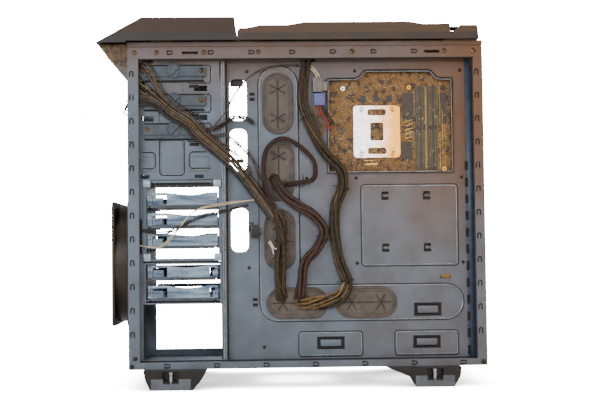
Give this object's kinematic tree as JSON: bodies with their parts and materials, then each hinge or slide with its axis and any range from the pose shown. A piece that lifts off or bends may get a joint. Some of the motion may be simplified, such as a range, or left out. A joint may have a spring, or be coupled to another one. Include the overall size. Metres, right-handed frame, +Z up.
{
  "type": "desktop computer tower",
  "caption": "Full-height steel computer case with side panels and front bezel off, holding a motherboard, power supply, drive trays, fans and a cable harness.",
  "frame": {"origin": "centre of the outline on the floor under the feet", "axes": "+Z up, the front faces -Y, the cable side behind the motherboard tray faces +X"},
  "size_m": [0.25, 0.563, 0.531],
  "materials": {
    "grey_steel": "grey satin paint on sheet steel",
    "black_steel": "black powder coat",
    "black_plastic": "fine textured moulding",
    "lock_grey": "silver-grey satin moulding",
    "tray_blue": "blue-grey satin moulding",
    "foot_metal": "brushed",
    "brass": "plain",
    "rubber": "matt",
    "board": "varnished glass-fibre laminate",
    "memory_board": "varnished glass-fibre laminate",
    "backplate": "nickel plate, brushed",
    "port_metal": "tin plate",
    "fin_aluminium": "bare",
    "blade_plastic": "smoked satin",
    "cable_sleeve": "braided sleeve",
    "wire_insulation": "soft PVC",
    "socket_plastic": "nylon"
  },
  "bodies": {
    "chassis": {"bottom_pan": "grey_steel", "top_panel": "grey_steel", "rear_panel": "grey_steel", "front_frame": "grey_steel", "motherboard_tray": "grey_steel", "bay_wall_right": "grey_steel", "bay_wall_left": "grey_steel", "hdd_cage_upper": "grey_steel", "hdd_cage_lower": "grey_steel", "lock_bars": "lock_grey", "hood": "black_plastic", "io_bracket": "grey_steel", "handle_rails": "black_plastic", "top_deck": "black_plastic", "feet": "black_plastic", "foot_plates": "foot_metal", "front_fan_frame": "black_plastic", "top_fan_frame": "black_plastic", "rear_fan_frame": "black_plastic", "psu_case": "black_steel", "psu_inlet": "socket_plastic", "motherboard_pcb": "board", "cpu_backplate": "backplate", "front_ports": "board", "cooler_heatsink": "fin_aluminium", "cooler_fan_frame": "black_plastic", "board_sockets": "socket_plastic", "memory_modules": "memory_board", "board_heatsinks": "fin_aluminium", "rear_io_ports": "port_metal", "graphics_card": "board", "graphics_shroud": "black_steel", "slot_covers": "grey_steel", "slot_screws": "black_steel", "grommets": "rubber", "chassis_screws": "brass", "cable_cpu_power": "cable_sleeve", "cable_main_power": "cable_sleeve", "cable_front_panel": "wire_insulation", "cable_leads": "wire_insulation", "cable_ties": "socket_plastic", "cable_connectors": "socket_plastic"},
    "drive_tray_1": {"hdd_tray_1": "tray_blue"},
    "drive_tray_2": {"hdd_tray_2": "tray_blue"},
    "drive_tray_3": {"hdd_tray_3": "tray_blue"},
    "drive_tray_4": {"hdd_tray_4": "tray_blue"},
    "drive_tray_5": {"hdd_tray_5": "tray_blue"},
    "lock_knob_1": {"lock_knob_1": "lock_grey"},
    "lock_knob_2": {"lock_knob_2": "lock_grey"},
    "lock_knob_3": {"lock_knob_3": "lock_grey"},
    "power_button": {"power_button": "black_plastic"},
    "reset_button": {"reset_button": "black_plastic"},
    "fan_speed_knob": {"fan_speed_knob": "black_plastic"},
    "front_fan_rotor": {"front_fan_rotor": "blade_plastic"},
    "top_fan_rotor": {"top_fan_rotor": "blade_plastic"},
    "rear_fan_rotor": {"rear_fan_rotor": "blade_plastic"},
    "cooler_fan_rotor": {"cooler_fan_rotor": "blade_plastic"},
    "gpu_fan_rotor": {"gpu_fan_rotor": "blade_plastic"},
    "psu_fan_rotor": {"psu_fan_rotor": "blade_plastic"},
    "psu_switch": {"psu_switch": "socket_plastic"}
  },
  "joints": [
    {"name": "drive_tray_1_slide", "type": "slide", "parent": "chassis", "child": "drive_tray_1", "axis": [-1, 0, 0], "range_m": [0, 0.15]},
    {"name": "drive_tray_2_slide", "type": "slide", "parent": "chassis", "child": "drive_tray_2", "axis": [-1, 0, 0], "range_m": [0, 0.15]},
    {"name": "drive_tray_3_slide", "type": "slide", "parent": "chassis", "child": "drive_tray_3", "axis": [-1, 0, 0], "range_m": [0, 0.15]},
    {"name": "drive_tray_4_slide", "type": "slide", "parent": "chassis", "child": "drive_tray_4", "axis": [-1, 0, 0], "range_m": [0, 0.15]},
    {"name": "drive_tray_5_slide", "type": "slide", "parent": "chassis", "child": "drive_tray_5", "axis": [-1, 0, 0], "range_m": [0, 0.15]},
    {"name": "lock_knob_1_turn", "type": "hinge", "parent": "chassis", "child": "lock_knob_1", "pos_m": [0.096, -0.172, 0.4575], "axis": [1, 0, 0], "range_deg": [0, 90]},
    {"name": "lock_knob_2_turn", "type": "hinge", "parent": "chassis", "child": "lock_knob_2", "pos_m": [0.096, -0.172, 0.4151], "axis": [1, 0, 0], "range_deg": [0, 90]},
    {"name": "lock_knob_3_turn", "type": "hinge", "parent": "chassis", "child": "lock_knob_3", "pos_m": [0.096, -0.172, 0.3727], "axis": [1, 0, 0], "range_deg": [0, 90]},
    {"name": "power_button_press", "type": "slide", "parent": "chassis", "child": "power_button", "axis": [0, 0, -1], "range_m": [0, 0.002], "stiffness_N_per_m": 400, "springref_m": -0.001},
    {"name": "reset_button_press", "type": "slide", "parent": "chassis", "child": "reset_button", "axis": [0, 0, -1], "range_m": [0, 0.002], "stiffness_N_per_m": 400, "springref_m": -0.001},
    {"name": "fan_speed_turn", "type": "hinge", "parent": "chassis", "child": "fan_speed_knob", "pos_m": [0.045, -0.1945, 0.531], "axis": [0, 0, 1], "range_deg": [0, 270]},
    {"name": "front_fan_spin", "type": "hinge", "parent": "chassis", "child": "front_fan_rotor", "pos_m": [0, -0.2385, 0.179], "axis": [0, 1, 0], "continuous": true},
    {"name": "top_fan_spin", "type": "hinge", "parent": "chassis", "child": "top_fan_rotor", "pos_m": [0, 0.0515, 0.498], "axis": [0, 0, 1], "continuous": true},
    {"name": "rear_fan_spin", "type": "hinge", "parent": "chassis", "child": "rear_fan_rotor", "pos_m": [-0.042, 0.2745, 0.406], "axis": [0, 1, 0], "continuous": true},
    {"name": "cooler_fan_spin", "type": "hinge", "parent": "chassis", "child": "cooler_fan_rotor", "pos_m": [-0.0021, 0.0975, 0.369], "axis": [0, 1, 0], "continuous": true},
    {"name": "gpu_fan_spin", "type": "hinge", "parent": "chassis", "child": "gpu_fan_rotor", "pos_m": [0.0189, 0.1285, 0.24335], "axis": [0, 0, 1], "continuous": true},
    {"name": "psu_fan_spin", "type": "hinge", "parent": "chassis", "child": "psu_fan_rotor", "pos_m": [0.005, 0.1985, 0.039], "axis": [0, 0, 1], "continuous": true},
    {"name": "psu_switch_rock", "type": "hinge", "parent": "chassis", "child": "psu_switch", "pos_m": [-0.014, 0.2705, 0.061], "axis": [1, 0, 0], "range_deg": [0, 12]}
  ]
}
